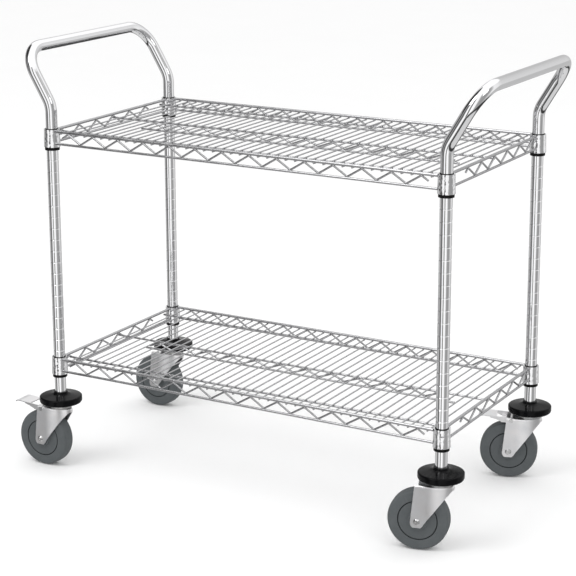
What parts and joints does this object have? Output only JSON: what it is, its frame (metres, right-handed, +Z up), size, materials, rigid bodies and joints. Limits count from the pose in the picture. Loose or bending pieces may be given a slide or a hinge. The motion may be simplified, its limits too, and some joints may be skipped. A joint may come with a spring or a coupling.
{
  "type": "wire shelf cart",
  "caption": "Chrome wire utility cart with an upper and a lower shelf, bent tube push handles at both ends and rubber-tyred swivel casters under round bumpers.",
  "frame": {"origin": "on the floor under the middle of the cart, halfway between the four posts", "axes": "+X along the cart's length towards the right handle, +Y from front to back, +Z up"},
  "size_m": [1.135, 0.552, 0.9562],
  "materials": {
    "chrome_tube": "bright chrome plate on round tube",
    "chrome_collar": "bright chrome plate, slightly rippled",
    "chrome_wire": "chrome plate on welded wire",
    "zinc_fork": "bright zinc plate on pressed sheet",
    "zinc_steel": "zinc plate on turned steel",
    "bolt_steel": "zinc plate on a bolt, nut or rivet",
    "ball_steel": "polished bearing steel",
    "black_plastic": "satin black moulding",
    "black_rubber": "semi-gloss black moulded rubber",
    "grey_tread": "matte grey non-marking rubber",
    "grey_hub": "matte grey moulded plastic",
    "bush_plastic": "natural bearing plastic"
  },
  "bodies": {
    "root": {"front_left_post": "chrome_tube", "front_right_post": "chrome_tube", "rear_left_post": "chrome_tube", "rear_right_post": "chrome_tube", "left_handle": "chrome_tube", "right_handle": "chrome_tube", "handle_spigots": "zinc_steel", "lower_collars": "chrome_collar", "lower_sleeves": "black_plastic", "lower_front_truss": "chrome_wire", "lower_rear_truss": "chrome_wire", "lower_left_truss": "chrome_wire", "lower_right_truss": "chrome_wire", "lower_centre_truss": "chrome_wire", "lower_deck_wires": "chrome_wire", "upper_collars": "chrome_collar", "upper_sleeves": "black_plastic", "upper_front_truss": "chrome_wire", "upper_rear_truss": "chrome_wire", "upper_left_truss": "chrome_wire", "upper_right_truss": "chrome_wire", "upper_centre_truss": "chrome_wire", "upper_deck_wires": "chrome_wire", "front_left_bumper": "black_rubber", "front_left_stem": "zinc_steel", "front_left_swivel_balls": "ball_steel", "front_right_bumper": "black_rubber", "front_right_stem": "zinc_steel", "front_right_swivel_balls": "ball_steel", "rear_left_bumper": "black_rubber", "rear_left_stem": "zinc_steel", "rear_left_swivel_balls": "ball_steel", "rear_right_bumper": "black_rubber", "rear_right_stem": "zinc_steel", "rear_right_swivel_balls": "ball_steel"},
    "front_left_swivel": {"front_left_fork": "zinc_fork", "front_left_axle": "bolt_steel", "front_left_brake_pivot": "bolt_steel"},
    "front_left_wheel": {"front_left_tread": "grey_tread", "front_left_hub": "grey_hub", "front_left_bush": "bush_plastic"},
    "front_left_pedal": {"front_left_brake_pedal": "zinc_fork"},
    "front_right_swivel": {"front_right_fork": "zinc_fork", "front_right_axle": "bolt_steel"},
    "front_right_wheel": {"front_right_tread": "grey_tread", "front_right_hub": "grey_hub", "front_right_bush": "bush_plastic"},
    "rear_left_swivel": {"rear_left_fork": "zinc_fork", "rear_left_axle": "bolt_steel"},
    "rear_left_wheel": {"rear_left_tread": "grey_tread", "rear_left_hub": "grey_hub", "rear_left_bush": "bush_plastic"},
    "rear_right_swivel": {"rear_right_fork": "zinc_fork", "rear_right_axle": "bolt_steel", "rear_right_brake_pivot": "bolt_steel"},
    "rear_right_wheel": {"rear_right_tread": "grey_tread", "rear_right_hub": "grey_hub", "rear_right_bush": "bush_plastic"},
    "rear_right_pedal": {"rear_right_brake_pedal": "zinc_fork"}
  },
  "joints": [
    {"name": "front_left_swivel_turn", "type": "hinge", "parent": "root", "child": "front_left_swivel", "pos_m": [-0.47, -0.2285, 0.142], "axis": [0, 0, 1], "continuous": true},
    {"name": "front_left_wheel_spin", "type": "hinge", "parent": "front_left_swivel", "child": "front_left_wheel", "pos_m": [-0.5134, -0.22918, 0.0635], "axis": [-0.0157, 0.9999, 0], "continuous": true},
    {"name": "front_left_brake_press", "type": "hinge", "parent": "front_left_swivel", "child": "front_left_pedal", "pos_m": [-0.50899, -0.22911, 0.1357], "axis": [0.0157, -0.9999, 0], "range_deg": [0, 11]},
    {"name": "front_right_swivel_turn", "type": "hinge", "parent": "root", "child": "front_right_swivel", "pos_m": [0.47, -0.2285, 0.142], "axis": [0, 0, 1], "continuous": true},
    {"name": "front_right_wheel_spin", "type": "hinge", "parent": "front_right_swivel", "child": "front_right_wheel", "pos_m": [0.42776, -0.23848, 0.0635], "axis": [-0.23, 0.9732, 0], "continuous": true},
    {"name": "rear_left_swivel_turn", "type": "hinge", "parent": "root", "child": "rear_left_swivel", "pos_m": [-0.47, 0.2285, 0.142], "axis": [0, 0, 1], "continuous": true},
    {"name": "rear_left_wheel_spin", "type": "hinge", "parent": "rear_left_swivel", "child": "rear_left_wheel", "pos_m": [-0.51338, 0.22964, 0.0635], "axis": [0.0262, 0.9997, 0], "continuous": true},
    {"name": "rear_right_swivel_turn", "type": "hinge", "parent": "root", "child": "rear_right_swivel", "pos_m": [0.47, 0.2285, 0.142], "axis": [0, 0, 1], "continuous": true},
    {"name": "rear_right_wheel_spin", "type": "hinge", "parent": "rear_right_swivel", "child": "rear_right_wheel", "pos_m": [0.42914, 0.21387, 0.0635], "axis": [-0.3371, 0.9415, 0], "continuous": true},
    {"name": "rear_right_brake_press", "type": "hinge", "parent": "rear_right_swivel", "child": "rear_right_pedal", "pos_m": [0.43328, 0.21535, 0.1357], "axis": [0.3371, -0.9415, 0], "range_deg": [0, 11]}
  ]
}
